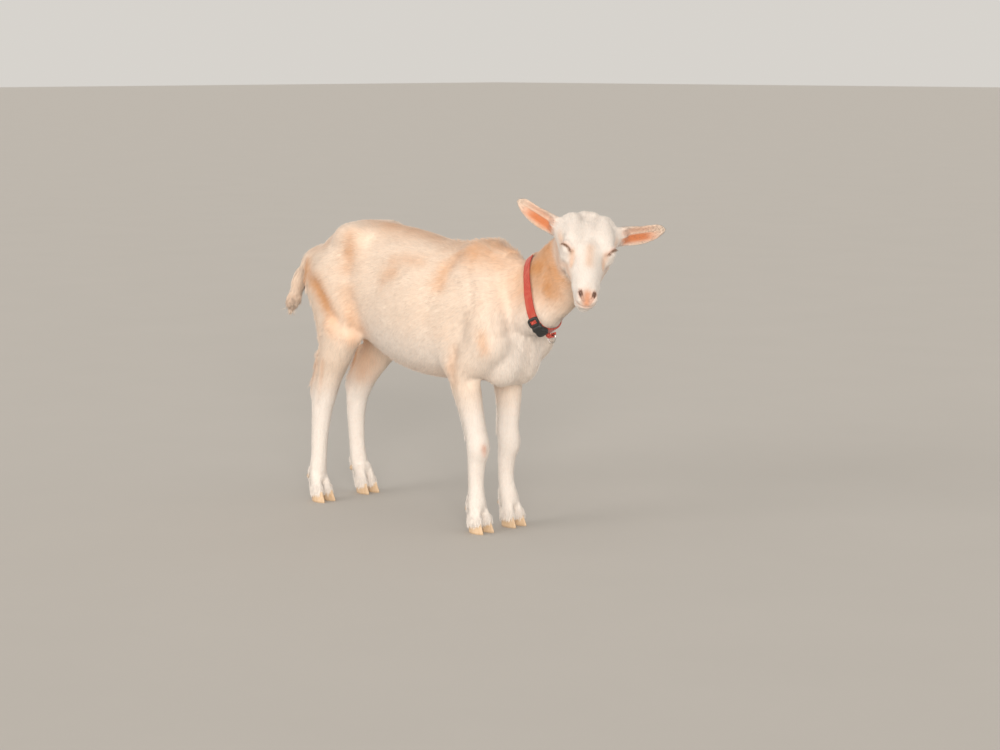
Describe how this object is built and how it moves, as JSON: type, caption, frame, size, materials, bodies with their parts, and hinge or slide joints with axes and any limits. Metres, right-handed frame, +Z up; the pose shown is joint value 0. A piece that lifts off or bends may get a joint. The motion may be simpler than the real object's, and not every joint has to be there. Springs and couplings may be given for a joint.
{
  "type": "goat",
  "caption": "Young cream dairy goat standing square on cloven hooves, head turned right, ears out, eyes shut, wearing a webbing collar with a side-release buckle and a D-ring.",
  "frame": {"origin": "on the ground under the middle of the animal's bounding box", "axes": "+X the way the animal stands (tail to breast), +Y its left side, +Z up; the head is turned about 49 degrees to -Y"},
  "size_m": [0.9252, 0.2393, 0.6392],
  "materials": {
    "coat": "short cream hair, tan on the back and in the shade, whiter on legs and face",
    "ear_coat": "thin cream hair outside, bare pink skin inside the cup",
    "eye": "dark wet eyeball behind closed lids",
    "hoof_horn": "cream-yellow horn with fine growth rings",
    "dewclaw_horn": "brownish horn",
    "webbing": "coral-red woven nylon webbing",
    "buckle": "black moulded plastic",
    "ring": "bright plated steel wire"
  },
  "bodies": {
    "root": {"trunk": "coat", "neck": "coat", "head": "coat", "tail": "coat", "foreleg_left": "coat", "foreleg_right": "coat", "hindleg_left": "coat", "hindleg_right": "coat", "ear_left": "ear_coat", "ear_right": "ear_coat", "eye_left": "eye", "eye_right": "eye", "hoof_fore_left_outer": "hoof_horn", "hoof_fore_left_inner": "hoof_horn", "hoof_fore_right_outer": "hoof_horn", "hoof_fore_right_inner": "hoof_horn", "hoof_hind_left_outer": "hoof_horn", "hoof_hind_left_inner": "hoof_horn", "hoof_hind_right_outer": "hoof_horn", "hoof_hind_right_inner": "hoof_horn", "dewclaw_fore_left_outer": "dewclaw_horn", "dewclaw_fore_left_inner": "dewclaw_horn", "dewclaw_fore_right_outer": "dewclaw_horn", "dewclaw_fore_right_inner": "dewclaw_horn", "dewclaw_hind_left_outer": "dewclaw_horn", "dewclaw_hind_left_inner": "dewclaw_horn", "dewclaw_hind_right_outer": "dewclaw_horn", "dewclaw_hind_right_inner": "dewclaw_horn", "collar_webbing": "webbing", "collar_loop": "webbing", "collar_buckle": "buckle", "collar_ring": "ring"}
  },
  "joints": []
}
